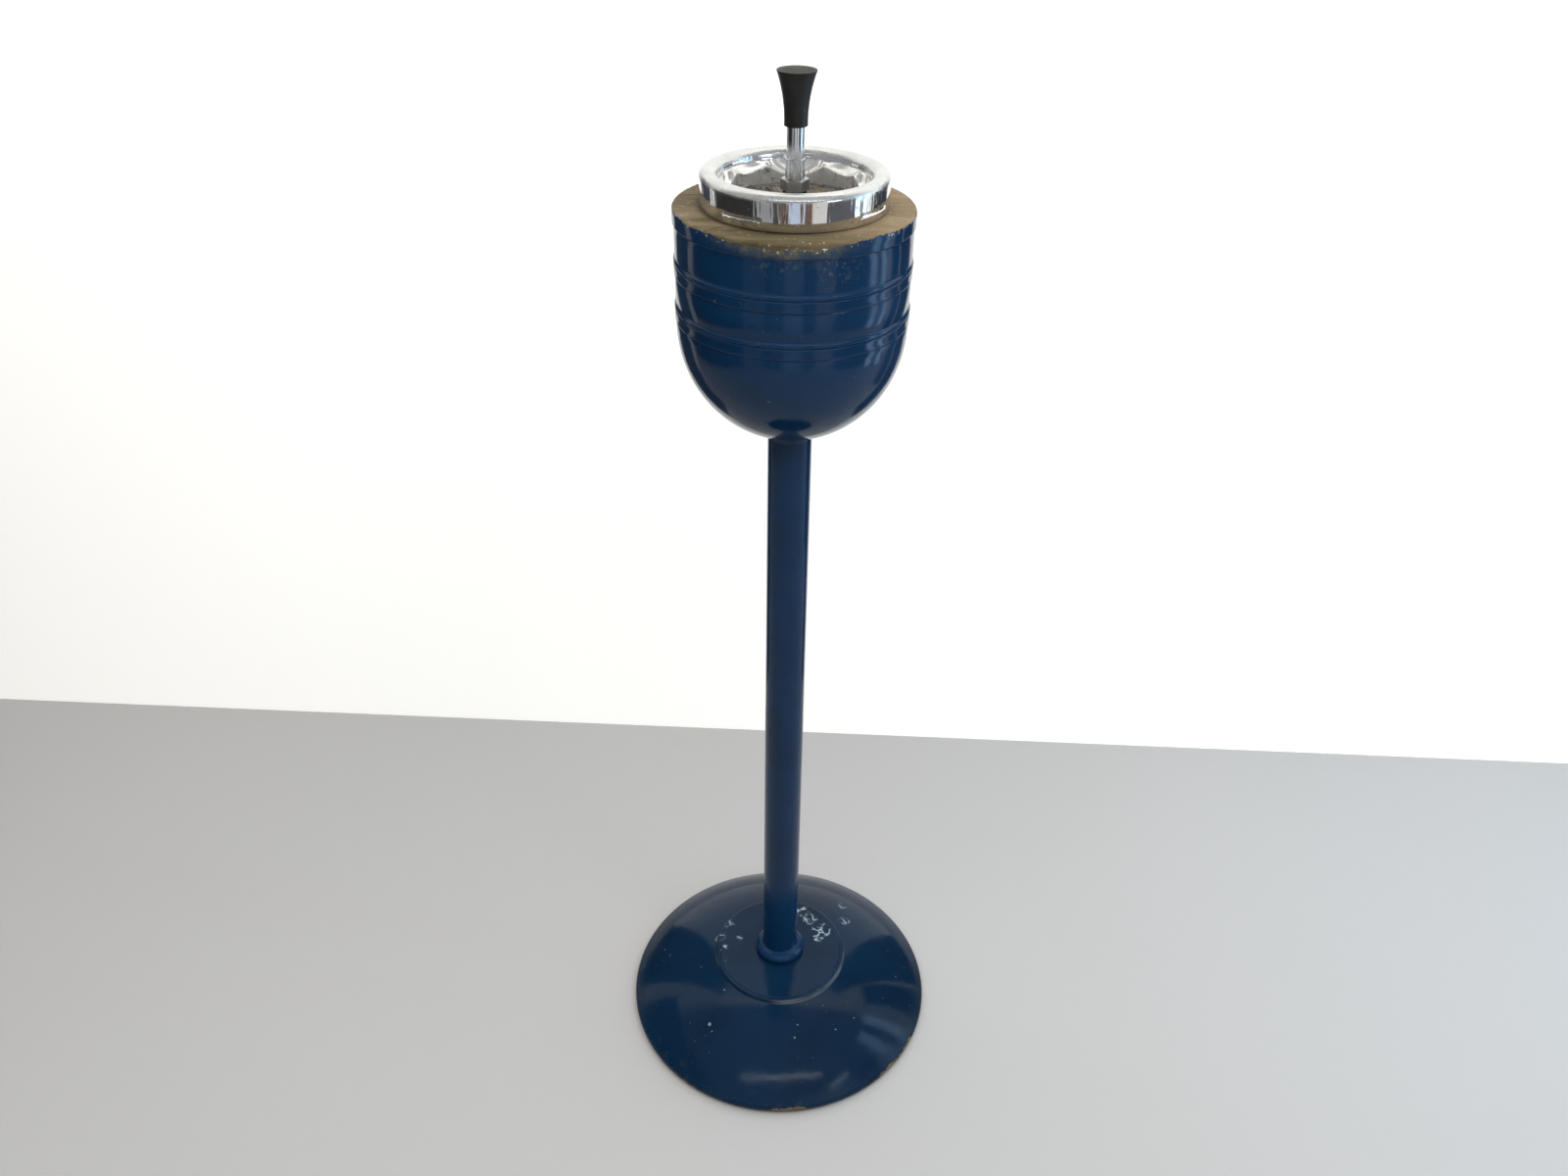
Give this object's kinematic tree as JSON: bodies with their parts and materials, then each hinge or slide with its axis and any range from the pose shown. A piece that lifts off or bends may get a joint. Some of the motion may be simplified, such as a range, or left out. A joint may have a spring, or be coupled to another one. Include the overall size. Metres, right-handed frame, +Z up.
{
  "type": "floor-standing spinning ashtray",
  "caption": "Turned wooden smoker's stand with a lift-out ash drum and a chromed lid whose plate drops and spins when its knob is pressed.",
  "frame": {"origin": "on the floor, at the centre of the base", "axes": "+Z up along the column and the plunger, -Y towards the viewer"},
  "size_m": [0.2268, 0.2268, 0.688],
  "materials": {
    "painted_wood": "dark blue gloss paint on turned wood, worn to bare wood at edges",
    "felt": "pressed felt",
    "zinc_steel": "zinc plated",
    "drum_steel": "plain pressed steel, soot stained",
    "lid_chrome": "bright chrome plate",
    "rest_chrome": "chrome plate, tarnished and ash stained",
    "spindle_steel": "bright drawn steel",
    "spring_steel": "oiled spring wire",
    "knob_plastic": "black moulded plastic",
    "plate_steel": "plated steel, burnt and tar stained",
    "hub_steel": "dull plated steel",
    "neck_black": "black phenolic",
    "brass": "turned brass"
  },
  "bodies": {
    "stand": {"base_disc": "painted_wood", "base_felt": "felt", "base_screw": "zinc_steel", "base_washer": "zinc_steel", "foot_collar": "painted_wood", "column": "painted_wood", "top_collar": "painted_wood", "bowl": "painted_wood", "bowl_screw": "zinc_steel", "bowl_washer": "zinc_steel"},
    "drum": {"ash_drum": "drum_steel"},
    "lid": {"lid_rim": "lid_chrome", "cigarette_rest": "rest_chrome", "crossbar": "drum_steel", "crossbar_rivets": "zinc_steel", "drive_spindle": "spindle_steel", "spindle_stop": "zinc_steel", "spindle_nut": "zinc_steel", "return_spring": "spring_steel"},
    "plunger": {"knob": "knob_plastic", "stem": "lid_chrome", "thrust_washer": "zinc_steel"},
    "spinner": {"spin_plate": "plate_steel", "hub_sleeve": "hub_steel", "hub_cap": "zinc_steel", "hub_spacer": "neck_black", "hub_nut": "hub_steel"},
    "clutch": {"drive_nut": "brass"}
  },
  "joints": [
    {"name": "drum_lift", "type": "slide", "parent": "stand", "child": "drum", "axis": [0, 0, 1], "range_m": [0, 0.08]},
    {"name": "lid_lift", "type": "slide", "parent": "drum", "child": "lid", "axis": [0, 0, 1], "range_m": [0, 0.06]},
    {"name": "press", "type": "slide", "parent": "lid", "child": "plunger", "axis": [0, 0, -1], "range_m": [0, 0.012], "stiffness_N_per_m": 500, "springref_m": -0.008, "deforming": ["return_spring"]},
    {"name": "plate_spin", "type": "hinge", "parent": "plunger", "child": "spinner", "pos_m": [0, 0, 0.6231], "axis": [0, 0, 1], "continuous": true},
    {"name": "drive_turn", "type": "hinge", "parent": "plunger", "child": "clutch", "pos_m": [0, 0, 0.616], "axis": [0, 0, 1], "range_deg": [-121, 1]}
  ],
  "couplings": [
    {"joint": "drive_turn", "follows": "press", "rad_per_m": -174.53}
  ]
}
